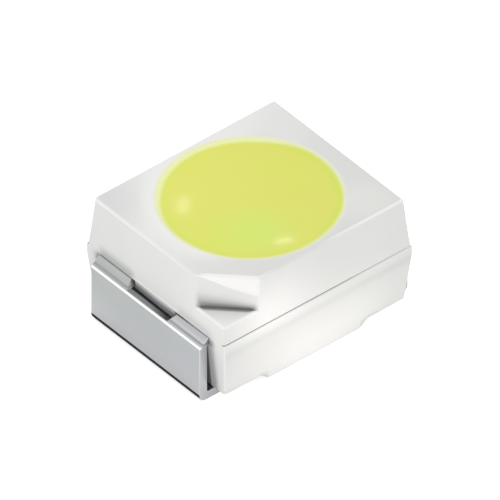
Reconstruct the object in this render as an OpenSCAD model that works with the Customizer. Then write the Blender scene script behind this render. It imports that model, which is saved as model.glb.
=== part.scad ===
// Top-view surface-mount LED: a white moulded housing on two bent leads, with its cup full of yellow phosphor.
// The origin is the middle of the footprint, level with the undersides of the solder feet. +X runs along the
// length, from the cathode end with its notched corner to the anode end, and +Z is up, out of the cup.
// Lengths are in millimetres and angles in degrees.

/* [Housing] */
// Length of the top face
top_length = 3.10; // [2.80:0.01:3.60]
// Width of the top face
top_width = 2.67; // [2.45:0.01:3.10]
// Height from the parting line up to the top face
upper_height = 0.79; // [0.66:0.01:1.00]
// Height from the underside of the ends up to the parting line
lower_height = 0.92; // [0.70:0.01:1.20]
// How far each side of the upper half leans out on its way down to the parting line
upper_flare = 0.065; // [0.02:0.005:0.12]
// How far the lower half stands out from the upper half at the parting line
parting_step = 0.02; // [0.005:0.005:0.04]
// Height of the upright band under the parting line
band_height = 0.15; // [0.05:0.01:0.30]
// How far each side of the lower half leans in below the band
lower_taper = 0.08; // [0.02:0.005:0.14]
// Radius of the rounded edge round the top face
edge_round = 0.03; // [0.01:0.005:0.06]

/* [Centre block] */
// Length of the block between the feet, where it leaves the underside
block_length = 1.78; // [1.20:0.02:2.20]
// How far each end of the block leans in on its way down
block_taper = 0.09; // [0.02:0.01:0.20]
// Height of the block's underside above the solder plane
block_standoff = 0.02; // [0.01:0.005:0.08]

/* [Cathode notch] */
// Length cut off each top edge at the marked corner
notch_leg = 0.61; // [0.40:0.01:0.80]
// Depth of the notch's ledge below the top face
notch_depth = 0.51; // [0.30:0.01:0.62]
// Lean of the notch's face from upright
notch_lean = 9.4; // [0:0.1:20]

/* [Cup] */
// Least width of the rim between the cup and the long edges of the top face
cup_rim = 0.085; // [0.06:0.005:0.40]
// How far the cup's wall leans in on its way down to the floor
cup_taper = 0.30; // [0.10:0.01:0.40]
// Depth of the phosphor's surface below the top face
fill_recess = 0.03; // [0.01:0.005:0.10]

/* [Leads] */
// Thickness of the lead strip
lead_thickness = 0.13; // [0.10:0.01:0.20]
// Width of the lead strip outside the housing
lead_width = 2.24; // [1.80:0.02:2.50]
// Gap between the housing's end and the leg
leg_gap = 0.03; // [0.01:0.005:0.10]
// Drop of the sloping shoulder where the strip turns down
shoulder_drop = 0.134; // [0.08:0.002:0.20]
// Inner radius of the bend above the foot
foot_bend = 0.02; // [0.01:0.005:0.10]
// Gap between a foot and the underside of the housing
foot_gap = 0.01; // [0.005:0.005:0.05]
// Gap between the end of a foot and the centre block
foot_end_gap = 0.10; // [0.04:0.01:0.30]
// Width of the window between a lead's two arms
window_width = 0.80; // [0.40:0.02:1.20]
// Depth of the window into the housing
window_reach = 0.20; // [0.10:0.01:0.30]
// Depth of the window's lower edge below the parting line
window_drop = 0.11; // [0.06:0.01:0.13]

/* [Pads] */
// Width of the pads at the bottom of the cup
pad_width = 1.60; // [1.00:0.02:2.00]
// Length of full-width strip held inside the housing
anchor_length = 0.35; // [0.30:0.01:0.50]
// How far the cathode pad reaches past the middle of the cup
cathode_reach = 0.30; // [0.24:0.01:0.40]
// Gap between the two pads
pad_gap = 0.20; // [0.12:0.01:0.30]

/* [Chip] */
// Length of the chip
die_length = 0.38; // [0.26:0.01:0.46]
// Width of the chip
die_width = 0.28; // [0.20:0.01:0.60]
// Height of the chip
die_height = 0.15; // [0.08:0.01:0.20]
// Thickness of the adhesive under the chip
attach_thickness = 0.02; // [0.01:0.005:0.04]
// How far the adhesive spreads past the chip's sides
attach_margin = 0.02; // [0.01:0.005:0.04]

/* [Bond wires] */
// Diameter of the wires
wire_diameter = 0.025; // [0.020:0.001:0.035]
// Diameter of the ball that ends a wire on the chip
ball_diameter = 0.08; // [0.06:0.005:0.10]
// Height of the ball
ball_height = 0.02; // [0.01:0.005:0.03]
// Distance from the end of the chip to the middle of a ball
ball_inset = 0.06; // [0.05:0.005:0.09]
// Height of a wire's loop above the chip
loop_height = 0.16; // [0.08:0.01:0.22]
// Distance from the chip to the end of the cathode wire
cathode_wire_reach = 0.35; // [0.20:0.01:0.45]
// Distance from the edge of the anode pad to the end of the anode wire
anode_wire_reach = 0.18; // [0.10:0.01:0.24]

/* [Hidden] */

// How far a cutter runs past the surface that it cuts
overcut = 0.4;
// Facets along the rounded top edge and along the bend above a foot
edge_steps = 4;
bend_steps = 8;
// Sides and lengths of a swept bond wire
wire_sides = 8;
wire_steps = 20;
$fn = 96;

// Heights above the solder plane
underside_z = lead_thickness + foot_gap;
parting_z = underside_z + lower_height;
top_z = parting_z + upper_height;
die_z = parting_z + attach_thickness;
die_top_z = die_z + die_height;

// Half lengths along X, from the middle outwards
side_growth = upper_flare + parting_step;
exit_x = top_length / 2 + side_growth;
leg_x = exit_x + leg_gap + lead_thickness;
window_x = exit_x - window_reach;
anchor_x = exit_x - anchor_length;
foot_end_x = block_length / 2 + foot_end_gap;
ball_x = die_length / 2 - ball_inset;

cup_d = top_width - 2 * cup_rim;
cup_floor_d = cup_d - 2 * cup_taper;
bend_radius = foot_bend + lead_thickness;

function arc(x, y, radius, start, end, steps) = [for (i = [0:steps])
    let (a = start + (end - start) * i / steps) [x + radius * cos(a), y + radius * sin(a)]];

function reflected(points) = [for (i = [len(points) - 1:-1:0]) [-points[i][0], points[i][1]]];

// One side of the housing's cross-section, from the top face down to the underside
function side_outline(half) = concat(
    arc(half - edge_round, top_z - edge_round, edge_round, 90, 0, edge_steps),
    [[half + upper_flare, parting_z],
     [half + side_growth, parting_z],
     [half + side_growth, parting_z - band_height],
     [half + side_growth - lower_taper, underside_z]]);

// Seen from the long side: the centre block hangs between the ends
function long_outline() = concat(side_outline(top_length / 2),
    [[block_length / 2, underside_z],
     [block_length / 2 - block_taper, block_standoff]]);

// Seen from the short end: the sides keep their lean down to the underside of the block
lean = lower_taper / (lower_height - band_height);
function end_outline() = concat(side_outline(top_width / 2),
    [[top_width / 2 + side_growth - lower_taper - lean * (underside_z - block_standoff), block_standoff]]);

// A profile drawn with its first axis along X and its second up Z, centred across Y
module across_y(width) {
    rotate([90, 0, 0])
        linear_extrude(height = width, center = true)
            children();
}

// A profile drawn with its first axis along Y and its second up Z, centred along X
module along_x(length) {
    rotate([90, 0, 90])
        linear_extrude(height = length, center = true)
            children();
}

module moulded_block() {
    intersection() {
        across_y(top_width + 2 * side_growth + overcut)
            polygon(concat(long_outline(), reflected(long_outline())));
        along_x(top_length + 2 * side_growth + overcut)
            polygon(concat(end_outline(), reflected(end_outline())));
    }
}

// The cup's cone from its floor, which is level with the pads, up to a height
module cup_cone(z) {
    translate([0, 0, parting_z])
        cylinder(h = z - parting_z, d1 = cup_floor_d,
            d2 = cup_floor_d + 2 * cup_taper * (z - parting_z) / upper_height);
}

// The notch is a prism across the corner at -X -Y, so its profile is drawn along the diagonal
module notch_cutter() {
    face_u = ((top_length + top_width) / 2 - notch_leg) / sqrt(2);
    far_u = (top_length + top_width) / 2 + side_growth;
    rotate([0, 0, 225])
        across_y(4 * notch_leg)
            polygon([
                [face_u - overcut * tan(notch_lean), top_z + overcut],
                [face_u + notch_depth * tan(notch_lean), top_z - notch_depth],
                [far_u, top_z - notch_depth],
                [far_u, top_z + overcut]]);
}

module housing() {
    color([0.91, 0.91, 0.89])
        difference() {
            moulded_block();
            cup_cone(top_z + overcut);
            notch_cutter();
            cathode_lead();
            anode_lead();
        }
}

// The strip's edge seen from the long side: out of the housing, down the leg and in along the foot
function strip_outline() = concat(
    [[anchor_x, parting_z],
     [exit_x, parting_z],
     [leg_x, parting_z - shoulder_drop]],
    arc(leg_x - bend_radius, bend_radius, bend_radius, 0, -90, bend_steps),
    [[foot_end_x, 0],
     [foot_end_x, lead_thickness]],
    arc(leg_x - bend_radius, bend_radius, foot_bend, -90, 0, edge_steps),
    [[leg_x - lead_thickness, parting_z - lead_thickness - leg_gap],
     [exit_x, parting_z - lead_thickness],
     [anchor_x, parting_z - lead_thickness]]);

// Goes right through the flat strip, and down to window_drop in the shoulder
module window_cutter() {
    across_y(window_width)
        polygon([
            [window_x, parting_z + overcut],
            [leg_x + overcut, parting_z + overcut],
            [leg_x + overcut, parting_z - window_drop],
            [leg_x - lead_thickness, parting_z - window_drop],
            [leg_x - lead_thickness, parting_z - lead_thickness - leg_gap],
            [exit_x, parting_z - lead_thickness - leg_gap],
            [window_x, parting_z - lead_thickness - leg_gap]]);
}

// A lead at the +X end. Its pad starts at pad_x and runs out to the window
module lead(pad_x) {
    difference() {
        union() {
            across_y(lead_width)
                polygon(strip_outline());
            translate([pad_x, -pad_width / 2, parting_z - lead_thickness])
                cube([window_x - pad_x, pad_width, lead_thickness]);
        }
        window_cutter();
    }
}

module anode_lead() {
    color([0.76, 0.77, 0.76])
        lead(cathode_reach + pad_gap);
}

module cathode_lead() {
    color([0.76, 0.77, 0.76])
        mirror([1, 0, 0])
            lead(-cathode_reach);
}

module led_die() {
    color([0.62, 0.68, 0.78])
        translate([-die_length / 2, -die_width / 2, die_z])
            cube([die_length, die_width, die_height]);
}

module die_attach() {
    attach_length = die_length + 2 * attach_margin;
    attach_width = die_width + 2 * attach_margin;
    color([0.93, 0.92, 0.86])
        translate([-attach_length / 2, -attach_width / 2, parting_z])
            cube([attach_length, attach_width, attach_thickness]);
}

// A wire's middle line is a cubic curve in the XZ plane: upright off its ball, and flat where it lands on the pad.
// A first handle of this many loop heights lifts the curve to about one loop height.
handle_rise = 2.8;
// The flat landing's handle, as a length along the pad
handle_run = 0.20;
wire_r = wire_diameter / 2;
landing_z = parting_z + wire_r * cos(180 / wire_sides);

function wire_handles(start_x, end_x) = [
    [start_x, die_top_z + ball_height / 2],
    [start_x, die_top_z + loop_height * handle_rise],
    [end_x - handle_run, landing_z],
    [end_x, landing_z]];

function curve_point(p, t) = pow(1 - t, 3) * p[0] + 3 * pow(1 - t, 2) * t * p[1]
    + 3 * (1 - t) * pow(t, 2) * p[2] + pow(t, 3) * p[3];

function curve_slope(p, t) = pow(1 - t, 2) * (p[1] - p[0])
    + 2 * (1 - t) * t * (p[2] - p[1]) + pow(t, 2) * (p[3] - p[2]);

function wire_ring(p, t) =
    let (middle = curve_point(p, t), slope = curve_slope(p, t), along = slope / norm(slope))
    [for (k = [0:wire_sides - 1])
        let (a = (k + 0.5) * 360 / wire_sides)
        [middle[0] - wire_r * cos(a) * along[1], wire_r * sin(a), middle[1] + wire_r * cos(a) * along[0]]];

// A wire that leaves its ball at start_x and lands on a pad at end_x, further along +X
module bond_wire(start_x, end_x) {
    p = wire_handles(start_x, end_x);
    n = wire_sides;
    points = [for (i = [0:wire_steps]) each wire_ring(p, i / wire_steps)];
    sides = [for (i = [0:wire_steps - 1], k = [0:n - 1])
        let (a = i * n + k, b = i * n + (k + 1) % n)
        each [[a, b, b + n], [a, b + n, a + n]]];
    caps = [[for (k = [n - 1:-1:0]) k], [for (k = [0:n - 1]) wire_steps * n + k]];
    union() {
        polyhedron(points = points, faces = concat(sides, caps));
        translate([start_x, 0, die_top_z])
            cylinder(h = ball_height, d = ball_diameter);
    }
}

module bond_wire_anode() {
    color([0.92, 0.76, 0.36])
        bond_wire(ball_x, cathode_reach + pad_gap + anode_wire_reach);
}

module bond_wire_cathode() {
    color([0.92, 0.76, 0.36])
        mirror([1, 0, 0])
            bond_wire(ball_x, die_length / 2 + cathode_wire_reach);
}

module encapsulant() {
    color([0.86, 0.88, 0.43])
        difference() {
            cup_cone(top_z - fill_recess);
            led_die();
            die_attach();
            bond_wire_cathode();
            bond_wire_anode();
        }
}

housing();
cathode_lead();
anode_lead();
led_die();
die_attach();
bond_wire_cathode();
bond_wire_anode();
encapsulant();
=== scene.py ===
"""A top-view surface-mount LED: the finished surfaces that go over the fixed CAD frame."""
import math

import bmesh
import bpy
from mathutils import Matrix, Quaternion, Vector


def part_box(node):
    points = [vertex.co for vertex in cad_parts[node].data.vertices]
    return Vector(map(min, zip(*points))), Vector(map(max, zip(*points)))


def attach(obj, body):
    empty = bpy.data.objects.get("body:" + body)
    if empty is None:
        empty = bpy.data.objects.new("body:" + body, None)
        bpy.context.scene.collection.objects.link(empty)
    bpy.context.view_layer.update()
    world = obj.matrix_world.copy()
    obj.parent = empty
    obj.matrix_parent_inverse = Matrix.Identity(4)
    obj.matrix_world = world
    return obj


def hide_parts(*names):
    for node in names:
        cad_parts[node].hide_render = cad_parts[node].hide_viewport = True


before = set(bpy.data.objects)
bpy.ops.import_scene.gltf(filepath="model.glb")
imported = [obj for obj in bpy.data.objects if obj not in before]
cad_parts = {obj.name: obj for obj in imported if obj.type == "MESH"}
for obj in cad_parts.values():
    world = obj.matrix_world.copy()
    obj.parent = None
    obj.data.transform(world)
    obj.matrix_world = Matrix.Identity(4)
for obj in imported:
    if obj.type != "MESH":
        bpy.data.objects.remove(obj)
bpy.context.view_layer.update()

MM = 0.001


def box_mm(node):
    """A node's lowest and highest corners, in millimetres."""
    return [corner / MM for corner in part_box(node)]


# Sizes in millimetres, read from the frame
housing_lo, housing_hi = box_mm("housing")
lead_lo, lead_hi = box_mm("anode_lead")
cathode_lo, cathode_hi = box_mm("cathode_lead")
fill_lo, fill_hi = box_mm("encapsulant")
TOP_Z = housing_hi.z
BLOCK_Z = housing_lo.z
PARTING_Z = lead_hi.z
LEG_X = lead_hi.x
LEAD_HALF = lead_hi.y
GIRTH_X = housing_hi.x
GIRTH_Y = housing_hi.y

# Sizes in millimetres that no box gives: the same as in the part's source
UPPER_FLARE = 0.065
PARTING_STEP = 0.02
BAND = 0.15
LOWER_TAPER = 0.08
UNDERSIDE_Z = 0.14
BLOCK_HALF = 0.89
BLOCK_TAPER = 0.09
NOTCH_LEG = 0.61
NOTCH_DEPTH = 0.51
NOTCH_LEAN = math.radians(9.4)
CUP_RADIUS = 1.25
CUP_TAPER = 0.30
LEAD_T = 0.13
LEG_GAP = 0.03
SHOULDER_DROP = 0.134
FOOT_BEND = 0.02
FOOT_END_X = 0.99
WINDOW_HALF = 0.40
WINDOW_REACH = 0.20
WINDOW_DROP = 0.115
ANCHOR = 0.35
PAD_HALF = 0.80
ANODE_PAD_X = lead_lo.x
CATHODE_PAD_X = -cathode_hi.x

HALF_X = GIRTH_X - UPPER_FLARE - PARTING_STEP
HALF_Y = GIRTH_Y - UPPER_FLARE - PARTING_STEP
BAND_Z = PARTING_Z - BAND
LEDGE_Z = TOP_Z - NOTCH_DEPTH
UPPER_LEAN = UPPER_FLARE / (TOP_Z - PARTING_Z)
LOWER_LEAN = LOWER_TAPER / (BAND_Z - UNDERSIDE_Z)
CUP_FLOOR_RADIUS = CUP_RADIUS - CUP_TAPER
CUP_LEAN = CUP_TAPER / (TOP_Z - PARTING_Z)


# Mesh helpers

def mesh_object(name, points, faces):
    """A smooth-shaded object from points in millimetres."""
    mesh = bpy.data.meshes.new(name)
    mesh.from_pydata([Vector(p) * MM for p in points], [], faces)
    mesh.validate()
    bm = bmesh.new()
    bm.from_mesh(mesh)
    bmesh.ops.recalc_face_normals(bm, faces=bm.faces)
    bm.to_mesh(mesh)
    bm.free()
    mesh.shade_smooth()
    obj = bpy.data.objects.new(name, mesh)
    bpy.context.scene.collection.objects.link(obj)
    return obj


def settle(obj):
    """Bakes an object's modifiers into its mesh."""
    depsgraph = bpy.context.evaluated_depsgraph_get()
    mesh = bpy.data.meshes.new_from_object(obj.evaluated_get(depsgraph))
    obj.modifiers.clear()
    obj.data = mesh
    return obj


def combine(obj, other, operation):
    """Joins or cuts obj with other, and removes other."""
    modifier = obj.modifiers.new("combine", "BOOLEAN")
    modifier.operation = operation
    modifier.solver = "EXACT"
    modifier.object = other
    settle(obj)
    bpy.data.objects.remove(other)
    return obj


def block(name, low, high):
    """A plain box between two corners, used only to join or to cut."""
    xs, ys, zs = zip(low, high)
    points = [(x, y, z) for x in xs for y in ys for z in zs]
    faces = [(0, 1, 3, 2), (4, 6, 7, 5), (0, 4, 5, 1), (2, 3, 7, 6), (0, 2, 6, 4), (1, 5, 7, 3)]
    return mesh_object(name, points, faces)


def arc(cx, cy, radius, start, end, steps):
    """Points of an arc between two angles in degrees."""
    angles = [math.radians(start + (end - start) * k / steps) for k in range(steps + 1)]
    return [(cx + radius * math.cos(a), cy + radius * math.sin(a)) for a in angles]


def rounded(corners, steps):
    """A closed outline from corners (x, y, radius), each rounded by a tangent arc."""
    out = []
    count = len(corners)
    for i, (x, y, radius) in enumerate(corners):
        here = Vector((x, y))
        back = (Vector(corners[i - 1][:2]) - here).normalized()
        ahead = (Vector(corners[(i + 1) % count][:2]) - here).normalized()
        if radius == 0:
            out.append(here)
            continue
        half = back.angle(ahead) / 2
        reach = radius / math.tan(half)
        centre = here + (back + ahead).normalized() * (radius / math.sin(half))
        first, last = here + back * reach - centre, here + ahead * reach - centre
        turn = first.angle_signed(last)
        for k in range(steps + 1):
            a = -turn * k / steps
            c, s = math.cos(a), math.sin(a)
            out.append(centre + Vector((c * first.x - s * first.y, s * first.x + c * first.y)))
    return out


# The housing is a stack of rings round the body, all with the same stations.
# At the marked corner a ring follows either the notch's face or the full corner below the ledge.

EDGE_R = 0.03
BOTTOM_R = 0.016
CORNER_R = 0.035
CORNER_STEPS = 6
NOTCH_ROUND = 0.045
NOTCH_ROUND_STEPS = 4
NOTCH_GUARD = 0.03
END_SPACING = 0.022
FACE_PLACES = (0.03, 0.08, 0.16, 0.28, 0.40, 0.52, 0.64, 0.76, 0.86, 0.93, 0.98)
CREASE_END = 0.6
CREASE_RISE = 0.03
SLOPE_STEPS = 8
SLOPE_EASE = 0.04
SLIT_REACH = 0.08
SLIT_HEIGHT = 0.027
GROOVE = 0.012
# The marked end's top edge: its painted highlight tone at the far corner and at the notch, ring by ring, and where
# its painted highlight line ends
EDGE_TONES = ((0.0, 0.0), (0.2, 0.1), (0.5, 0.2), (0.9, 0.3), (1.5, 0.35), (1.5, 0.3))
LINE_FOOT = (0.022, 0.034)
# How strong the painted highlight line is along the top face's front edge: places along X and shares
FRONT_LINE = ((-1.0, 1.0), (-0.65, 0.25), (0.5, 0.25), (0.82, 1.5))


def block_stations():
    """Places along X where the underside turns into the centre block, from -X to +X."""
    outer = BLOCK_HALF + SLOPE_EASE
    inner = BLOCK_HALF - BLOCK_TAPER - SLOPE_EASE
    slope = [inner + (outer - inner) * k / SLOPE_STEPS for k in range(SLOPE_STEPS + 1)]
    return [-x for x in reversed(slope)] + [0.0] + slope


def bottom_z(x):
    """Height of the underside at a place along X."""
    outer = BLOCK_HALF + SLOPE_EASE
    inner = BLOCK_HALF - BLOCK_TAPER - SLOPE_EASE
    t = min(1.0, max(0.0, (abs(x) - inner) / (outer - inner)))
    return BLOCK_Z + (UNDERSIDE_Z - BLOCK_Z) * t * t * (3 - 2 * t)


def along(table, x):
    """The value at x from a table of (x, value) pairs: straight between them, level beyond them."""
    value = table[0][1]
    for (x0, v0), (x1, v1) in zip(table, table[1:]):
        value += (v1 - v0) * min(1.0, max(0.0, (x - x0) / (x1 - x0)))
    return value


def notch_ends(z, inset=0.0, out=0.0):
    """The two ends of the notch's line at height z: inset moves all three faces in, out only the notch's."""
    hx = HALF_X + UPPER_LEAN * (TOP_Z - z) - inset
    hy = HALF_Y + UPPER_LEAN * (TOP_Z - z) - inset
    total = -(HALF_X + HALF_Y) + NOTCH_LEG + math.sqrt(2) * (inset - out - math.tan(NOTCH_LEAN) * (TOP_Z - z))
    return Vector((-hx, total + hx)), Vector((total + hy, -hy))


def bend(start, knee, end, steps):
    """Points of a soft corner from start to end, round knee."""
    out = []
    for k in range(steps + 1):
        t = k / steps
        out.append(start * (1 - t) ** 2 + knee * 2 * t * (1 - t) + end * t * t)
    return out


def notch_corner(heights, inset=0.0, outs=None, slit=0.0):
    """Stations along the notch's face, from the -X side to the -Y side.

    heights and outs give, at a place from 0 to 1 along the face, its height and how far it stands proud.
    slit is how deep the undercut at the face's foot goes in.
    """
    outs = outs or (lambda place: 0.0)

    def ends(place):
        return notch_ends(heights(place), inset, outs(place))

    a, b = ends(0)
    along = (b - a).normalized() * NOTCH_ROUND
    first = bend(a + Vector((0, NOTCH_ROUND)), a, a + along, NOTCH_ROUND_STEPS)
    c, d = ends(1)
    along = (d - c).normalized() * NOTCH_ROUND
    last = bend(d - along, d, d + Vector((NOTCH_ROUND, 0)), NOTCH_ROUND_STEPS)
    inward = Vector((1, 1)).normalized()
    points = [(p.x, p.y, heights(0)) for p in first]
    for place in FACE_PLACES:
        a, b = ends(place)
        margin = NOTCH_ROUND / (b - a).length
        depth = slit * min(1.0, 12 * place, 12 * (1 - place))
        p = a.lerp(b, margin + (1 - 2 * margin) * place) + inward * depth
        points.append((p.x, p.y, heights(place)))
    return points + [(p.x, p.y, heights(1)) for p in last]


def full_corner(z, grow_x, grow_y, inset=0.0):
    """The same stations round the full corner under the ledge. The inset fades out at both ends."""
    hx, hy = HALF_X + grow_x, HALF_Y + grow_y
    a, b = notch_ends(LEDGE_Z)
    count = NOTCH_ROUND_STEPS + 1
    fade = [min(1.0, 0.4 * k) for k in range(count)]
    turn = arc(-hx + CORNER_R + inset, -hy + CORNER_R + inset, CORNER_R, 180, 270, 4)
    top, side = a.y + NOTCH_ROUND, b.x + NOTCH_ROUND
    down = [(-hx + inset * fade[k], top - END_SPACING * k) for k in range(count)]
    across = [(side - END_SPACING * k, -hy + inset * fade[k]) for k in range(count)]
    more = (len(FACE_PLACES) - len(turn)) // 2

    def between(start, end):
        return [tuple(Vector(start).lerp(Vector(end), k / (more + 1))) for k in range(1, more + 1)]

    outline = down + between(down[-1], turn[0]) + turn + between(turn[-1], across[-1]) + across[::-1]
    return [(x, y, z) for x, y in outline]


def ring(z, grow_x, grow_y, corner):
    """Points of one ring. The marked corner's stations come from corner."""
    hx, hy = HALF_X + grow_x, HALF_Y + grow_y
    r = CORNER_R
    out = [(x, y, z) for x, y in arc(hx - r, -hy + r, r, -90, 0, CORNER_STEPS)]
    out += [(x, y, z) for x, y in arc(hx - r, hy - r, r, 0, 90, CORNER_STEPS)]
    stations = block_stations()
    out += [(x, hy, z) for x in reversed(stations)]
    out += [(x, y, z) for x, y in arc(-hx + r, hy - r, r, 90, 180, CORNER_STEPS)]
    out.append((-hx, corner[0][1] + NOTCH_GUARD, z))
    out += corner
    left = corner[-1][0] + NOTCH_GUARD
    out.append((left, -hy, z))
    start = max(stations[0], left + NOTCH_GUARD / 2)
    stretch = (stations[-1] - start) / (stations[-1] - stations[0])
    out += [(start + (x - stations[0]) * stretch, -hy, z) for x in stations]
    return out


def housing_rings():
    """All rings from the top face's edge down to the underside, each with its tone of painted light and shade:
    painted highlights on edges, painted shade in grooves.
    """
    rings = []

    def add(z, grow_x, grow_y, corner, tone=0.0, corner_tone=None, sides=1.0, upright=0.0, marked_end=None,
            plain_end=1.0, front_line=None):
        """sides scales the tone on the two end faces, upright is the tone of the painted highlight on the upright
        edges, with painted shade beside it.

        marked_end gives the painted highlight tone of the marked end's face at its far corner and at the notch.
        plain_end is how much of the tone is left at the other end of the long sides.
        """
        corner_tone = tone if corner_tone is None else corner_tone
        points = ring(z, grow_x, grow_y, corner)
        edge_y = HALF_Y + grow_y - CORNER_R
        tones = []
        for k, (x, y, _) in enumerate(points):
            place = k - CORNER_FIRST
            here = tone
            if 0 <= place < len(corner):
                end_fade = min(1.0, 0.25 * min(place, len(corner) - 1 - place))
                here = corner_tone * (1.0 if corner_tone == tone else end_fade)
            across = min(1.0, max(0.0, (abs(y) - edge_y) / CORNER_R))
            here *= sides + (1 - sides) * across
            if upright:
                edge_x = HALF_X + grow_x - CORNER_R
                round_x, round_y = (abs(x) - edge_x) / CORNER_R, (abs(y) - edge_y) / CORNER_R
                if round_x > 0 and round_y > 0:
                    turn = round_y - round_x
                    here = upright * (max(0.0, 1 - abs(turn - 0.55)) - 0.3 * max(0.0, 1 - 2 * abs(turn + 0.6)))
            here *= 1 - (1 - plain_end) * min(1.0, max(0.0, (x - 0.3) / 0.8))
            if front_line and y < -edge_y:
                here *= along(front_line, x)
            if marked_end and -4 <= place <= NOTCH_ROUND_STEPS + 2:
                share = max(0.0, (place - NOTCH_ROUND_STEPS) / 3)
                here = marked_end[0] if place < -1 else marked_end[1] * (1 - share) + here * share
            tones.append(here)
        rings.append((points, tones))

    for k in range(5):
        a = math.radians(90 * k / 4)
        inset = EDGE_R * (1 - math.sin(a))
        z = TOP_Z - EDGE_R * (1 - math.cos(a))
        grow = UPPER_LEAN * (TOP_Z - z) - inset
        # A painted highlight along the top face's rounded edge, weaker on its last ring
        tone = 0.0 if k == 0 else 1.0 if k < 4 else 0.3
        corner = notch_corner(lambda place: z, inset)
        add(z, grow, grow, corner, tone, 1.0 if k == 4 else None, marked_end=EDGE_TONES[k],
            front_line=FRONT_LINE)
    # Down the notch's face: four levels to the crease that crosses it, four more to its foot. The face is painted
    # light above the crease and painted shade below it towards the foot
    face_top, foot = TOP_Z - EDGE_R, LEDGE_Z + SLIT_HEIGHT
    drop = face_top - foot

    def crease(place):
        return CREASE_END * max(place, 0.04)

    # Each level's corner tone: painted light above the crease, painted shade below it towards the foot
    levels = [(0.1, 0, 1.5), (0.35, 0, 1.5), (0.6, 0, 1.5), (0.84, 0, 1.3), (1, 0, -0.1)]
    levels += [(1, 0.25, -0.1), (1, 0.5, -0.2), (1, 0.75, -0.48), (1, 1, -0.8)]
    for k, (share, rest, corner_tone) in enumerate(levels):

        def heights(place):
            return face_top - drop * (crease(place) * share + (1 - crease(place)) * rest)

        def outs(place):
            return CREASE_RISE * math.sin(math.pi * place) * share * (1 - rest)

        z = face_top - (LINE_FOOT[k] if k < 2 else drop * (k + 1) / len(levels))
        grow = UPPER_LEAN * (TOP_Z - z)
        add(z, grow, grow, notch_corner(heights, 0, outs), 0.0, corner_tone, marked_end=EDGE_TONES[5] if k == 0 else None)
    # The slit at the foot of the face, its real shade deepened by painted shade, and the ledge out to the full
    # corner, with a painted highlight on its rounded rim
    steps = [
        (0.8, 0.5, -0.75), (0.5, 1.0, -0.8), (0.1, 1.0, -0.8),
        (0.0, 0.0, -0.9), (0.0, -0.35, -0.65), (0.0, -0.7, -0.1),
    ]
    for k, (height, reach, tone) in enumerate(steps):
        z = foot - 0.006 * (k + 1)
        level = LEDGE_Z + height * SLIT_HEIGHT
        grow = UPPER_LEAN * (TOP_Z - z)
        add(z, grow, grow, notch_corner(lambda place: level, slit=reach * SLIT_REACH), 0.0, tone)
    for k in range(5):
        a = math.radians(90 * k / 4)
        inset = EDGE_R * (1 - math.sin(a))
        corner_z = LEDGE_Z - EDGE_R * (1 - math.cos(a))
        z = foot - 0.036 - 0.009 * (k + 1)
        grow, corner_grow = UPPER_LEAN * (TOP_Z - z), UPPER_LEAN * (TOP_Z - corner_z)
        # A painted highlight on the ledge's rounded rim
        tone = 0.5 if k == 0 else 0.75 if k < 4 else 0.2
        add(z, grow, grow, full_corner(corner_z, corner_grow, corner_grow, inset), 0.0, tone)

    def plain(z, grow_x, grow_y, tone=0.0, upright=0.0, plain_end=1.0):
        corner = full_corner(z, grow_x, grow_y)
        add(z, grow_x, grow_y, corner, tone, sides=0.0, upright=upright, plain_end=plain_end)

    # The upper half's foot, the parting groove along the long sides and the band under it. The groove's real shade is
    # deepened by painted shade that fades towards the plain end, its lips carry painted highlights, the band has
    # painted shade, and the upright corners a painted highlight with painted shade beside it
    top, out = UPPER_FLARE, UPPER_FLARE + PARTING_STEP
    plain(PARTING_Z + 2.5 * GROOVE, top, top)
    plain(PARTING_Z + GROOVE, top, top, 0.9)
    plain(PARTING_Z + 0.3 * GROOVE, top + 0.002, top - 0.25 * GROOVE, 0.2)
    plain(PARTING_Z + 0.2 * GROOVE, top + 0.004, top - 1.2 * GROOVE, -1.1, plain_end=0.0)
    plain(PARTING_Z - 0.7 * GROOVE, top + 0.010, top - 1.2 * GROOVE, -1.1, plain_end=0.0)
    plain(PARTING_Z - 0.8 * GROOVE, top + 0.012, out - GROOVE, 0.0)
    plain(PARTING_Z - 1.1 * GROOVE, top + 0.016, out - 0.35 * GROOVE, 0.7)
    plain(PARTING_Z - 2.0 * GROOVE, out, out, 0.45)
    plain(PARTING_Z - 3.5 * GROOVE, out, out, upright=0.9)
    plain(BAND_Z + 0.03, out, out, -0.12, upright=0.9)
    plain(BAND_Z, out - LOWER_LEAN * 0.006, out - LOWER_LEAN * 0.006, -0.21, upright=0.9)
    plain(BAND_Z - 0.03, out - LOWER_LEAN * 0.03, out - LOWER_LEAN * 0.03, -0.24, upright=0.9)
    plain(BAND_Z - 0.08, out - LOWER_LEAN * 0.08, out - LOWER_LEAN * 0.08, -0.21, upright=0.9)
    plain(BAND_Z - 0.15, out - LOWER_LEAN * 0.15, out - LOWER_LEAN * 0.15, -0.13, upright=0.9)
    low = UNDERSIDE_Z + 3 * EDGE_R
    grow = out - LOWER_LEAN * (BAND_Z - low)
    plain(low, grow, grow, upright=0.9)
    return rings


# Where the marked corner's own stations start in a ring, after three corners, the +Y side and one guard point
CORNER_FIRST = 3 * (CORNER_STEPS + 1) + len(block_stations()) + 1


def bottom_ring(base, depth, inset):
    """The last rings follow the underside: base is the ring above, depth how far up the edge rounding it is."""
    out = []
    hx, hy = base["hx"], base["hy"]
    for x, y, z in base["points"]:
        floor = bottom_z(x) if abs(abs(y) - hy) < 1e-6 else UNDERSIDE_Z
        level = floor + depth
        shrink = LOWER_LEAN * (z - level) + inset
        scale_x = (abs(x) - shrink) / abs(x) if abs(abs(x) - hx) < CORNER_R + 1e-6 and x else 1
        out.append((x * scale_x, y - math.copysign(shrink, y), level))
    return out


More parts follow.
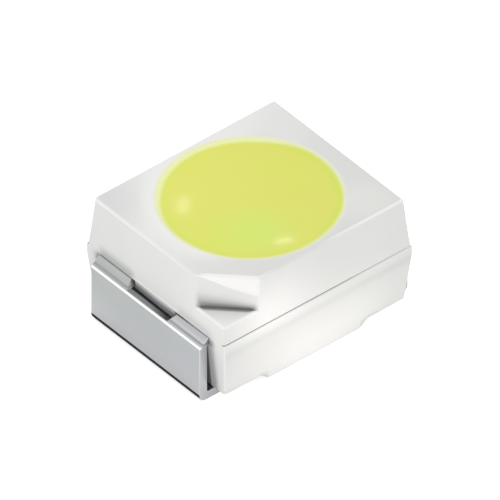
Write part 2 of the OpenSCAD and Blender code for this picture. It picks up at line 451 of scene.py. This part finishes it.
def build_housing():
    rings = housing_rings()
    last = rings[-1][0]
    count = len(last)
    base = {"points": last, "hx": max(p[0] for p in last), "hy": max(p[1] for p in last)}
    for k in range(4):
        a = math.radians(90 * k / 3)
        # A painted highlight on the bottom edge's rounding; darker where the underside slopes into the block
        tone = 0.5 if 0 < k < 3 else 0.0
        depth, inset = BOTTOM_R * (1 - math.sin(a)), BOTTOM_R * (1 - math.cos(a))
        low = bottom_ring(base, depth, inset)
        slope = [BLOCK_HALF - BLOCK_TAPER < abs(x) < BLOCK_HALF + 0.05 for x, y, z in low]
        rings.append((low, [-0.4 if on_slope else tone for on_slope in slope]))
    points, tones, faces = [], [], []
    for ring_points, ring_tones in rings:
        points += ring_points
        tones += ring_tones
    for level in range(len(rings) - 1):
        for i in range(count):
            j = (i + 1) % count
            a, b = level * count + i, level * count + j
            faces.append((a, a + count, b + count, b))
    # Underside: strips from the -Y side across to the +Y side, and a cap at each end
    start = (len(rings) - 1) * count
    stations = len(block_stations())
    plus_y = [start + 2 * (CORNER_STEPS + 1) + k for k in range(stations)]
    minus_y = [start + count - stations + k for k in range(stations)]
    plus_y.reverse()
    for k in range(stations - 1):
        faces.append((minus_y[k], plus_y[k], plus_y[k + 1], minus_y[k + 1]))
    right = [start + i for i in range(2 * (CORNER_STEPS + 1))]
    faces.append(tuple([minus_y[-1]] + right + [plus_y[-1]]))
    left = list(range(plus_y[0] + 1, minus_y[0]))
    faces.append(tuple([plus_y[0]] + left + [minus_y[0]]))
    # The cup: its rounded rim, its wall and its floor
    cup_rings = []
    for k in range(5):
        a = math.radians(90 * k / 4)
        r = CUP_RADIUS + RIM_R * (1 - math.sin(a))
        cup_rings.append((r, TOP_Z - RIM_R * (1 - math.cos(a)), 0.0))
    cup_rings.append((CUP_RADIUS - CUP_LEAN * 0.08, TOP_Z - 0.08, 0.0))
    cup_rings.append((CUP_FLOOR_RADIUS, PARTING_Z, 0.0))
    first = len(points)
    for r, z, tone in cup_rings:
        for k in range(CUP_STEPS):
            a = 2 * math.pi * k / CUP_STEPS
            points.append((r * math.cos(a), r * math.sin(a), z))
            tones.append(tone)
    for level in range(len(cup_rings) - 1):
        for k in range(CUP_STEPS):
            a, b = first + level * CUP_STEPS + k, first + level * CUP_STEPS + (k + 1) % CUP_STEPS
            faces.append((a, b, b + CUP_STEPS, a + CUP_STEPS))
    floor = first + (len(cup_rings) - 1) * CUP_STEPS
    faces.append(tuple(floor + k for k in range(CUP_STEPS)))
    obj = mesh_object("housing_shell", points, faces)
    tone = obj.data.attributes.new("tone", "FLOAT", "POINT")
    tone.data.foreach_set("value", tones)
    # The top face lies between the outer edge and the rim
    bm = bmesh.new()
    bm.from_mesh(obj.data)
    open_edges = [e for e in bm.edges if len(e.link_faces) == 1]
    bmesh.ops.triangle_fill(bm, use_beauty=True, use_dissolve=False, edges=open_edges, normal=(0, 0, 1))
    bmesh.ops.recalc_face_normals(bm, faces=bm.faces)
    for face in bm.faces:
        face.smooth = True
    bm.to_mesh(obj.data)
    bm.free()
    # Slots that the arms of the leads pass through
    for side in (-1, 1):
        for arm in (-1, 1):
            ys = sorted((arm * (WINDOW_HALF - SLOT_GAP), arm * (LEAD_HALF + SLOT_GAP)))
            xs = sorted((side * (GIRTH_X - ANCHOR), side * (GIRTH_X + 0.1)))
            low = (xs[0], ys[0], PARTING_Z - LEAD_T - SLOT_GAP)
            high = (xs[1], ys[1], PARTING_Z - ARM_DROP + SLOT_GAP)
            combine(obj, block("slot", low, high), "DIFFERENCE")
    normals = obj.modifiers.new("even normals", "WEIGHTED_NORMAL")
    normals.weight = 90
    return obj


RIM_R = 0.008
CUP_STEPS = 128
SLOT_GAP = 0.004


OUTER_BEND = 0.11
ARM_DROP = 0.022
ARM_FLAT = 0.02
SHOULDER_FACET = (0.020, 0.015)
WINDOW_TOP_HALF = 0.49
WINDOW_LOW_HALF = 0.41


def strip_outline():
    """The lead strip's edge seen from the long side, for a lead at the +X end."""
    arm = Vector((GIRTH_X + ARM_FLAT, PARTING_Z - ARM_DROP))
    shoulder = Vector((LEG_X, PARTING_Z - SHOULDER_DROP))
    facet_top = shoulder + (arm - shoulder).normalized() * SHOULDER_FACET[0]
    return [
        (GIRTH_X - ANCHOR, PARTING_Z - ARM_DROP, 0),
        (arm.x, arm.y, 0.02),
        (facet_top.x, facet_top.y, 0.03),
        (LEG_X, shoulder.y - SHOULDER_FACET[1], 0.03),
        (LEG_X, 0, OUTER_BEND),
        (FOOT_END_X, 0, 0),
        (FOOT_END_X, LEAD_T, 0),
        (LEG_X - LEAD_T, LEAD_T, FOOT_BEND),
        (LEG_X - LEAD_T, PARTING_Z - LEAD_T - LEG_GAP, 0),
        (GIRTH_X, PARTING_Z - LEAD_T, 0),
        (GIRTH_X - ANCHOR, PARTING_Z - LEAD_T, 0),
    ]


def window_outline():
    over = 0.2
    return [
        (GIRTH_X - WINDOW_REACH, PARTING_Z + over, 0),
        (LEG_X + over, PARTING_Z + over, 0),
        (LEG_X + over, PARTING_Z - WINDOW_DROP, 0),
        (LEG_X - LEAD_T, PARTING_Z - WINDOW_DROP, 0),
        (LEG_X - LEAD_T, PARTING_Z - LEAD_T - LEG_GAP, 0),
        (GIRTH_X - WINDOW_REACH, PARTING_Z - LEAD_T - LEG_GAP, 0),
    ]


def window_half(z):
    """Half the window's width at a height: it widens towards the body."""
    rise = (z - (PARTING_Z - WINDOW_DROP)) / WINDOW_DROP
    return WINDOW_LOW_HALF + (WINDOW_TOP_HALF - WINDOW_LOW_HALF) * rise


def prism(name, outline, half_width):
    """An outline in the XZ plane drawn out along Y, centred. half_width gives half its width at a height."""
    flat = rounded(outline, 6)
    n = len(flat)
    points = [(p.x, side * half_width(p.y), p.y) for side in (-1, 1) for p in flat]
    faces = [tuple(range(n)), tuple(range(2 * n - 1, n - 1, -1))]
    faces += [(k, (k + 1) % n, (k + 1) % n + n, k + n) for k in range(n)]
    return mesh_object(name, points, faces)


LEAD_BEVEL = 0.010


def build_lead(name, pad_x, end):
    """A lead at the +X end, or mirrored to the -X end where end is -1."""
    obj = prism(name, strip_outline(), lambda z: LEAD_HALF)
    low = (pad_x, -PAD_HALF, PARTING_Z - LEAD_T)
    high = (GIRTH_X - WINDOW_REACH, PAD_HALF, PARTING_Z)
    combine(obj, block("pad", low, high), "UNION")
    combine(obj, prism("window", window_outline(), window_half), "DIFFERENCE")
    bm = bmesh.new()
    bm.from_mesh(obj.data)
    bmesh.ops.remove_doubles(bm, verts=bm.verts, dist=1e-8)
    if end < 0:
        bmesh.ops.scale(bm, vec=(-1, 1, 1), verts=bm.verts)
        bmesh.ops.reverse_faces(bm, faces=bm.faces)
    for face in bm.faces:
        face.smooth = True
    bm.to_mesh(obj.data)
    bm.free()
    bevel = obj.modifiers.new("edges", "BEVEL")
    bevel.width = LEAD_BEVEL * MM
    bevel.segments = 3
    bevel.limit_method = "ANGLE"
    bevel.angle_limit = math.radians(60)
    bevel.use_clamp_overlap = False
    bevel.harden_normals = True
    normals = obj.modifiers.new("even normals", "WEIGHTED_NORMAL")
    normals.weight = 90
    return obj


def build_fill():
    """The phosphor: a faintly dished surface whose thin edge climbs the cup's wall."""
    contact_z = TOP_Z - CONTACT_DROP
    edge = CUP_RADIUS + RIM_R * (1 - math.sin(math.acos(1 - CONTACT_DROP / RIM_R)))
    flat = edge - MENISCUS_WIDTH
    centre_z = contact_z - MENISCUS_RISE - DISH
    profile = [(flat * k / FILL_STEPS, centre_z + DISH * (k / FILL_STEPS) ** 2) for k in range(FILL_STEPS + 1)]
    for k in range(1, 7):
        t = k / 6
        profile.append((flat + MENISCUS_WIDTH * t, centre_z + DISH + MENISCUS_RISE * t ** 1.8))
    rim = len(profile) - 1
    profile.append((CUP_FLOOR_RADIUS - FILL_GAP, PARTING_Z + FILL_GAP))
    points = [(0, 0, profile[0][1])]
    faces = []
    for r, z in profile[1:]:
        for k in range(CUP_STEPS):
            a = 2 * math.pi * k / CUP_STEPS
            points.append((r * math.cos(a), r * math.sin(a), z))
    for k in range(CUP_STEPS):
        faces.append((0, 1 + k, 1 + (k + 1) % CUP_STEPS))
    for level in range(len(profile) - 2):
        for k in range(CUP_STEPS):
            a = 1 + level * CUP_STEPS + k
            b = 1 + level * CUP_STEPS + (k + 1) % CUP_STEPS
            faces.append((a, a + CUP_STEPS, b + CUP_STEPS, b))
    floor = 1 + (len(profile) - 2) * CUP_STEPS
    faces.append(tuple(floor + k for k in range(CUP_STEPS)))
    obj = mesh_object("phosphor_fill", points, faces)
    sharp = {1 + (rim - 1) * CUP_STEPS + k for k in range(CUP_STEPS)} | set(range(floor, floor + CUP_STEPS))
    for edge in obj.data.edges:
        edge.use_edge_sharp = set(edge.vertices) <= sharp
    return obj


FILL_GAP = 0.0008
CONTACT_DROP = 0.004
MENISCUS_WIDTH = 0.05
MENISCUS_RISE = 0.02
DISH = 0.026
FILL_STEPS = 24


# Materials

class Nodes:
    """A new node material, with short calls to add its nodes."""

    def __init__(self, name):
        self.material = bpy.data.materials.new(name)
        self.material.use_nodes = True
        self.tree = self.material.node_tree
        self.shader = self.tree.nodes["Principled BSDF"]

    def add(self, kind, inputs=None, **settings):
        node = self.tree.nodes.new(kind)
        for key, value in settings.items():
            setattr(node, key, value)
        for key, value in (inputs or {}).items():
            if isinstance(value, bpy.types.NodeSocket):
                self.tree.links.new(value, node.inputs[key])
            else:
                node.inputs[key].default_value = value
        return node

    def set(self, **values):
        for key, value in values.items():
            socket = self.shader.inputs[key.replace("_", " ")]
            if isinstance(value, bpy.types.NodeSocket):
                self.tree.links.new(value, socket)
            else:
                socket.default_value = value

    def mix(self, factor, first, second):
        node = self.add("ShaderNodeMix", data_type="RGBA")
        for socket, value in zip((node.inputs[0], node.inputs[6], node.inputs[7]), (factor, first, second)):
            if isinstance(value, bpy.types.NodeSocket):
                self.tree.links.new(value, socket)
            else:
                socket.default_value = value
        return node.outputs[2]

    def ramp(self, value, low, high):
        """Runs from 0 to 1, smoothly, as value goes from low to high."""
        node = self.add("ShaderNodeMapRange", {"Value": value, "From Min": low, "From Max": high},
                        interpolation_type="SMOOTHSTEP")
        return node.outputs["Result"]

    def times(self, first, second):
        node = self.add("ShaderNodeMath", {0: first, 1: second}, operation="MULTIPLY")
        return node.outputs[0]

    def places(self, signed=False):
        """The surface point's x, y and z in millimetres, x and y without their signs unless signed."""
        place = self.add("ShaderNodeTexCoord").outputs["Object"]
        scaled = self.add("ShaderNodeVectorMath", {0: place, 1: (1 / MM, 1 / MM, 1 / MM)}, operation="MULTIPLY")
        parts = self.add("ShaderNodeSeparateXYZ", {0: scaled.outputs[0]}).outputs
        if signed:
            return parts
        size = [self.add("ShaderNodeMath", {0: part}, operation="ABSOLUTE").outputs[0] for part in parts[:2]]
        return (*size, parts[2])

    def distance(self, x, y, to_x, to_y):
        """How far a place is from an upright axis."""
        place = self.add("ShaderNodeCombineXYZ", {0: x, 1: y})
        node = self.add("ShaderNodeVectorMath", {0: place.outputs[0], 1: (to_x, to_y, 0)}, operation="DISTANCE")
        return node.outputs["Value"]

    def noise(self, scale, detail=3.0):
        """Noise with about scale lumps to a millimetre."""
        place = self.add("ShaderNodeTexCoord").outputs["Object"]
        node = self.add("ShaderNodeTexNoise", {"Vector": place, "Scale": scale / MM, "Detail": detail})
        return node.outputs["Fac"]


def srgb(r, g, b):
    """A colour as it should look on screen, 0 to 255 each, as linear light."""
    out = []
    for v in (r, g, b):
        v = v / 255
        out.append(v / 12.92 if v <= 0.04045 else ((v + 0.055) / 1.055) ** 2.4)
    return (*out, 1.0)


def housing_material():
    m = Nodes("white moulding")
    base = m.mix(m.ramp(m.noise(0.9), 0.35, 0.65), srgb(236, 236, 234), srgb(233, 234, 231))
    # Painted light and shade on the top face: lighter at the back, painted shade at the front and towards the marked
    # end's far corner
    side_x, side_y, z = m.places(signed=True)
    top = m.ramp(z, 1.81, 1.835)
    back = m.add("ShaderNodeMath", {0: side_y, 1: m.times(side_x, -0.35)}, operation="ADD").outputs[0]
    base = m.mix(m.times(m.ramp(back, 0.35, -0.35), top), base, srgb(228, 229, 226))
    base = m.mix(m.times(m.ramp(m.distance(side_x, side_y, 1.15, -1.05), 0.55, 0.15), top), base, srgb(234, 234, 231))
    base = m.mix(m.times(m.ramp(back, 0.45, 1.0), top), base, srgb(241, 241, 239))
    # Painted shade towards the marked end's far corner of the top face
    corner_shade = m.times(m.ramp(m.distance(side_x, side_y, -1.71, 1.33), 1.25, 0.25), top)
    base = m.mix(corner_shade, base, srgb(223, 223, 223))
    # The tone attribute paints light and shade: above 0 painted highlights on rounded edges and the notch's facet,
    # below 0 painted shade in grooves, the slit and the band
    tone = m.add("ShaderNodeAttribute", attribute_name="tone").outputs["Fac"]
    base = m.mix(m.ramp(tone, 0.0, 1.0), base, srgb(248, 248, 246))
    base = m.mix(m.ramp(tone, 1.0, 1.6), base, srgb(255, 253, 251))
    base = m.mix(m.ramp(tone, 0.0, -1.0), base, srgb(140, 142, 140))
    base = m.mix(m.ramp(tone, -1.0, -1.5), base, srgb(84, 86, 84))
    # Painted shade on the plastic in the slots behind the leads
    x, y, z = m.places()
    lift = m.times(m.ramp(y, 0.50, 0.42), 0.018)
    level = m.add("ShaderNodeMath", {0: z, 1: lift}, operation="ADD").outputs[0]
    reach = m.times(m.ramp(level, 1.09, 0.98), m.ramp(x, 1.45, 1.53))
    base = m.mix(m.times(reach, m.times(m.ramp(y, 1.27, 1.14), m.ramp(y, 1.08, 1.14))), base, srgb(188, 189, 190))
    base = m.mix(m.times(reach, m.ramp(y, 1.10, 1.07)), base, srgb(150, 151, 153))
    # Soft shade on the face over the arms, deeper over the arm away from the notch
    over = m.times(m.ramp(z, PARTING_Z + 0.16, PARTING_Z - 0.03), m.ramp(z, 0.93, 1.02))
    beside = m.times(m.times(m.ramp(y, 1.22, 1.06), m.ramp(y, 0.38, 0.55)), m.ramp(x, 1.45, 1.53))
    over = m.times(over, beside)
    base = m.mix(m.times(over, m.ramp(side_y, -0.2, 0.2)), base, srgb(186, 189, 187))
    base = m.mix(m.times(over, m.ramp(side_y, 0.2, -0.2)), base, srgb(212, 211, 211))
    # Painted light: a lighter patch on the top face left of the cup, and a painted pale yellow glow in the cup's rim
    radius = m.distance(x, y, 0.0, 0.0)
    upper = m.ramp(z, 1.70, 1.76)
    painted_glow = m.times(m.times(m.ramp(radius, 1.55, 1.27), m.ramp(side_x, -0.2, -1.1)), m.ramp(side_y, -1.0, -0.4))
    base = m.mix(m.times(painted_glow, upper), base, srgb(243, 243, 240))
    # Painted pale yellow glow in the cup's rim
    shift = m.times(m.times(m.ramp(side_x, 0.2, 0.9), m.ramp(side_y, 0.9, 0.3)), 0.02)
    nearer = m.add("ShaderNodeMath", {0: radius, 1: shift}, operation="SUBTRACT").outputs[0]
    base = m.mix(m.times(m.ramp(nearer, 1.30, 1.23), upper), base, srgb(240, 242, 208))
    bump = m.add("ShaderNodeBump", {"Height": m.noise(60), "Strength": 0.15, "Distance": 0.000002})
    m.set(Base_Color=base, Roughness=0.42, Normal=bump.outputs["Normal"])
    return m.material


def lead_material():
    m = Nodes("plated strip")
    x, y, z = m.places()
    along = m.ramp(m.places(signed=True)[1], 1.0, -1.2)
    base = m.mix(along, srgb(180, 185, 182), srgb(190, 193, 198))
    base = m.mix(m.ramp(m.noise(1.2), 0.3, 0.7), base, srgb(187, 190, 190))
    base = m.mix(m.times(m.ramp(z, 0.85, 0.15), m.ramp(x, 1.75, 1.78)), base, srgb(196, 198, 200))
    # Painted highlights on the strip's outer edges and along the shoulder, its sheared sides a little lighter,
    # painted light and shade on the wings, painted shade over the shoulder, on the window's cut face and under the
    # foot's bend
    base = m.mix(m.ramp(y, 1.102, 1.108), base, srgb(212, 212, 216))
    base = m.mix(m.ramp(y, 1.1185, 1.1195), base, srgb(198, 198, 202))
    wing = m.times(m.ramp(z, 1.02, 0.98), m.ramp(z, 0.935, 0.96))
    base = m.mix(wing, base, m.mix(along, srgb(181, 183, 182), srgb(207, 207, 212)))
    # Painted shade in a band over the shoulder
    above = m.times(m.ramp(z, 0.948, 0.962), m.ramp(z, 0.984, 0.972))
    base = m.mix(above, base, srgb(162, 163, 164))
    # Painted highlight along the shoulder
    shoulder = m.times(m.ramp(z, 0.903, 0.913), m.ramp(z, 0.945, 0.933))
    base = m.mix(m.times(shoulder, m.ramp(x, 1.75, 1.76)), base, srgb(236, 236, 236))
    # Painted shade on the window's cut face, deepest next to the body
    cut = m.times(m.times(m.ramp(z, 0.9435, 0.9445), m.ramp(z, 0.9465, 0.9455)), m.ramp(y, 0.5, 0.49))
    base = m.mix(cut, base, srgb(148, 149, 150))
    base = m.mix(m.times(cut, m.ramp(x, 1.715, 1.685)), base, srgb(50, 50, 52))
    # Painted shade under the foot's bend: near black, not metal and rough there
    bend_low = m.times(m.ramp(z, 0.132, 0.122), m.ramp(x, 1.66, 1.70))
    bend_shade = m.times(bend_low, m.ramp(y, 1.118, 1.108))
    base = m.mix(bend_shade, base, srgb(16, 16, 17))
    grain = m.add("ShaderNodeBump", {"Height": m.noise(35), "Strength": 0.1, "Distance": 0.000002})
    metal = m.add("ShaderNodeMapRange", {"Value": bend_shade, "To Min": 1.0, "To Max": 0.0}).outputs["Result"]
    rough = m.add("ShaderNodeMapRange", {"Value": bend_shade, "To Min": 0.26, "To Max": 0.95}).outputs["Result"]
    m.set(Base_Color=base, Metallic=metal, Roughness=rough, Normal=grain.outputs["Normal"])
    return m.material


def phosphor_material():
    m = Nodes("phosphor silicone")
    x, y, z = m.places(signed=True)
    base = m.mix(m.ramp(m.noise(0.8), 0.35, 0.65), srgb(229, 231, 96), srgb(226, 234, 88))
    # Greener in a patch towards the front of the middle, pale where the edge thins out up the wall
    base = m.mix(m.ramp(m.distance(x, y, -0.35, -0.55), 0.75, 0.1), base, srgb(220, 238, 100))
    radius = m.distance(x, y, 0.0, 0.0)
    base = m.mix(m.ramp(radius, 1.10, 1.19), base, srgb(222, 233, 84))
    shift = m.times(m.times(m.ramp(x, 0.2, 0.9), m.ramp(y, 0.9, 0.3)), 0.035)
    nearer = m.add("ShaderNodeMath", {0: radius, 1: shift}, operation="SUBTRACT").outputs[0]
    rear = m.ramp(y, 0.2, 0.9)
    nearer = m.add("ShaderNodeMath", {0: nearer, 1: m.times(rear, 0.03)}, operation="ADD").outputs[0]
    pale = m.mix(rear, srgb(241, 243, 196), srgb(245, 248, 182))
    base = m.mix(m.ramp(nearer, 1.165, 1.255), base, pale)
    m.set(Base_Color=base, Roughness=0.4, Coat_Weight=0.4, Coat_Roughness=0.05)
    return m.material


def plain_material(name, first, second, scale, metallic, roughness):
    m = Nodes(name)
    base = m.mix(m.ramp(m.noise(scale), 0.35, 0.65), first, second)
    m.set(Base_Color=base, Metallic=metallic, Roughness=roughness)
    return m.material


# The pieces

housing = build_housing()
cathode = build_lead("cathode_strip", CATHODE_PAD_X, -1)
anode = build_lead("anode_strip", ANODE_PAD_X, 1)
fill = build_fill()
strip_finish = lead_material()
for piece, node, slot, finish in (
    (housing, "housing", "housing_plastic", housing_material()),
    (cathode, "cathode_lead", "lead_metal", strip_finish),
    (anode, "anode_lead", "lead_metal", strip_finish),
    (fill, "encapsulant", "phosphor", phosphor_material()),
):
    piece.data.materials.clear()
    piece.data.materials.append(finish)
    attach(piece, "root")
    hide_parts(node)

gold = plain_material("gold wire", srgb(238, 201, 118), srgb(226, 188, 104), 20, 1.0, 0.3)
inner = {
    "led_die": plain_material("chip crystal", srgb(150, 170, 200), srgb(140, 160, 195), 8, 0.0, 0.2),
    "die_attach": plain_material("chip adhesive", srgb(238, 235, 222), srgb(230, 226, 210), 12, 0.0, 0.5),
    "bond_wire_cathode": gold,
    "bond_wire_anode": gold,
}
for node, finish in inner.items():
    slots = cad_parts[node].data.materials
    slots.clear()
    slots.append(finish)


# Floor, world, lamps and camera

PIXELS = 500
PIXELS_PER_MM = 75.67
AZIMUTH = math.radians(-40.0)
ELEVATION = math.radians(40.15)
# Where the photo has the middle of the top face, in its own pixels
TOP_CENTRE_PX = (249.4, 198.0)


def by_ray(tree, seen, mirrored, other):
    """One strength for rays from the camera, one for mirror and glass rays, one for the light on things."""
    path = tree.nodes.new("ShaderNodeLightPath")
    value = other
    for name, strength in (("Is Transmission Ray", mirrored), ("Is Glossy Ray", mirrored), ("Is Camera Ray", seen)):
        node = tree.nodes.new("ShaderNodeMix")
        tree.links.new(path.outputs[name], node.inputs["Factor"])
        if isinstance(value, bpy.types.NodeSocket):
            tree.links.new(value, node.inputs["A"])
        else:
            node.inputs["A"].default_value = value
        node.inputs["B"].default_value = strength
        value = node.outputs["Result"]
    return value


SKY = 0.87
FLOOR_LIFT = 0.62
FLOOR_MIRRORED_LIFT = 0.22


def build_floor():
    half = 200
    floor = mesh_object("floor", [(-half, -half, 0), (half, -half, 0), (half, half, 0), (-half, half, 0)],
                        [(0, 1, 2, 3)])
    material = bpy.data.materials.new("white floor")
    material.use_nodes = True
    tree = material.node_tree
    shader = tree.nodes["Principled BSDF"]
    shader.inputs["Base Color"].default_value = (0.93, 0.93, 0.93, 1)
    shader.inputs["Roughness"].default_value = 1.0
    shader.inputs["Specular IOR Level"].default_value = 0.0
    shader.inputs["Emission Color"].default_value = (1, 1, 1, 1)
    lift = by_ray(tree, FLOOR_LIFT, FLOOR_MIRRORED_LIFT, 0.0)
    tree.links.new(lift, shader.inputs["Emission Strength"])
    floor.data.materials.append(material)


def build_world():
    world = bpy.data.worlds.new("studio")
    bpy.context.scene.world = world
    world.use_nodes = True
    tree = world.node_tree
    background = tree.nodes["Background"]
    background.inputs["Color"].default_value = (1, 1, 1, 1)
    tree.links.new(by_ray(tree, 1.0, 1.0, SKY), background.inputs["Strength"])


def soft_lamp(name, place, target, width, height, watts, colour=(1, 1, 1), roll=0):
    """An oval lamp at place, aimed at target. Places are in millimetres."""
    lamp = bpy.data.lights.new(name, "AREA")
    lamp.shape = "ELLIPSE"
    lamp.size, lamp.size_y = width * MM, height * MM
    lamp.energy = watts
    lamp.color = colour
    obj = bpy.data.objects.new(name, lamp)
    obj.location = Vector(place) * MM
    obj.rotation_mode = "QUATERNION"
    aim = (Vector(target) - Vector(place)).to_track_quat("-Z", "Y")
    obj.rotation_quaternion = aim @ Quaternion((0, 0, 1), math.radians(roll))
    obj.visible_camera = False
    bpy.context.scene.collection.objects.link(obj)
    return obj


def build_camera():
    right = Vector((math.cos(AZIMUTH), math.sin(AZIMUTH), 0))
    back = Vector((math.sin(AZIMUTH) * math.cos(ELEVATION), -math.cos(AZIMUTH) * math.cos(ELEVATION),
                   math.sin(ELEVATION)))
    up = back.cross(right)
    shift_x = (PIXELS / 2 - TOP_CENTRE_PX[0]) / PIXELS_PER_MM
    shift_y = (PIXELS / 2 - TOP_CENTRE_PX[1]) / PIXELS_PER_MM
    aim = Vector((0, 0, TOP_Z)) + right * shift_x - up * shift_y
    camera = bpy.data.cameras.new("camera")
    camera.type = "ORTHO"
    camera.ortho_scale = PIXELS / PIXELS_PER_MM * MM
    camera.clip_start, camera.clip_end = MM, 1.0
    obj = bpy.data.objects.new("camera", camera)
    obj.location = (aim + back * 30) * MM
    obj.rotation_mode = "QUATERNION"
    obj.rotation_quaternion = (-back).to_track_quat("-Z", "Y")
    bpy.context.scene.collection.objects.link(obj)
    bpy.context.scene.camera = obj


def direction_lamp(name, target, direction, distance, width, height, radiance, roll=0, colour=(1, 1, 1)):
    """A lamp far out in one direction from target, as bright as radiance times a white world."""
    place = Vector(target) + Vector(direction).normalized() * distance
    watts = radiance * math.pi * math.pi / 4 * width * height * MM * MM
    return soft_lamp(name, place, target, width, height, watts, colour, roll)


def glint_lamp(name, x, y, width, height, radiance, roll=0, colour=(1, 1, 1)):
    """A far lamp whose mirror image in the dished phosphor is seen at x and y."""
    slope = 2 * DISH / (CUP_RADIUS - MENISCUS_WIDTH) ** 2
    normal = Vector((-slope * x, -slope * y, 1)).normalized()
    back = Vector((math.sin(AZIMUTH) * math.cos(ELEVATION), -math.cos(AZIMUTH) * math.cos(ELEVATION),
                   math.sin(ELEVATION)))
    mirrored = 2 * normal.dot(back) * normal - back
    return direction_lamp(name, (x, y, TOP_Z), mirrored, 400, width, height, radiance, roll, colour)


build_floor()
build_world()
build_camera()
# Two lamps close to the long side, which give the bright patches on it
soft_lamp("near lamp", (-0.80, -1.93, 1.26), (-0.76, -1.4, 1.17), 0.8, 0.4, 0.96e-6, (1.0, 0.91, 0.90))
soft_lamp("low lamp", (0.1, -2.25, 0.16), (0.1, -1.4, 0.3), 2.4, 0.25, 3.2e-6, (1.0, 0.93, 0.92))
# One low beside the marked corner, and one over the far left of the top face
soft_lamp("side lamp", (-4.2, -2.3, 2.4), (-1.4, -1.1, 1.3), 1.5, 1.5, 1.05e-5, (1.0, 0.97, 0.96))
soft_lamp("top lamp", (-0.5, 0.8, 4.0), (-0.5, 0.8, 1.85), 1.0, 1.0, 3.2e-6)
# A strip that the leads' shoulder mirrors, low behind the marked end
direction_lamp("shoulder strip", (0, 0, PARTING_Z), (-0.7947, 0.5855, 0.1592), 40, 22, 9, 0.8)
# Two far small lamps that the dished phosphor mirrors
glint_lamp("left glint", -0.738, 0.486, 2.4, 11.5, 9.0, colour=(0.90, 0.66, 1.0))
glint_lamp("front glint", -0.185, -0.93, 4.6, 2.1, 14.0, 34)
bpy.context.scene.view_settings.view_transform = "Standard"
